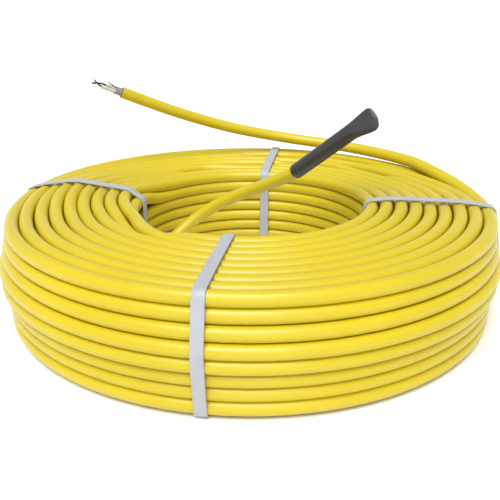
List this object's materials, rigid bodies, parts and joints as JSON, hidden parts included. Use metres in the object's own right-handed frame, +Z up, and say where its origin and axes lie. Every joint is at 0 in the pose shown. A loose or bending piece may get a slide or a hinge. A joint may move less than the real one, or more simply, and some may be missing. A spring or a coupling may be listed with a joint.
{
  "type": "heating cable coil",
  "caption": "Flat round coil of yellow heating cable held by flat plastic straps, with a stripped lead and a heat-shrunk end cap standing off it.",
  "frame": {"origin": "on the floor, on the coil's axis, under the straps", "axes": "+Z up along the coil's axis; +X to the right and -Y to the front as the picture shows it"},
  "size_m": [0.254, 0.254, 0.1045],
  "materials": {
    "sheath": "satin yellow cable sheath",
    "cap": "satin black heat-shrunk sleeve",
    "strap": "smooth pale grey strapping band",
    "shield": "foil and braid shield",
    "core": "milky core insulation",
    "wire": "dark bare resistance wire"
  },
  "bodies": {
    "root": {"cable_coil": "sheath", "lead_tail": "sheath", "end_tail": "sheath", "end_cap": "cap", "strap_1": "strap", "strap_2": "strap", "strap_3": "strap", "strap_4": "strap", "shield": "shield", "core_1": "core", "core_2": "core", "core_wire_1": "wire", "core_wire_2": "wire", "drain_wire": "wire"}
  },
  "joints": []
}
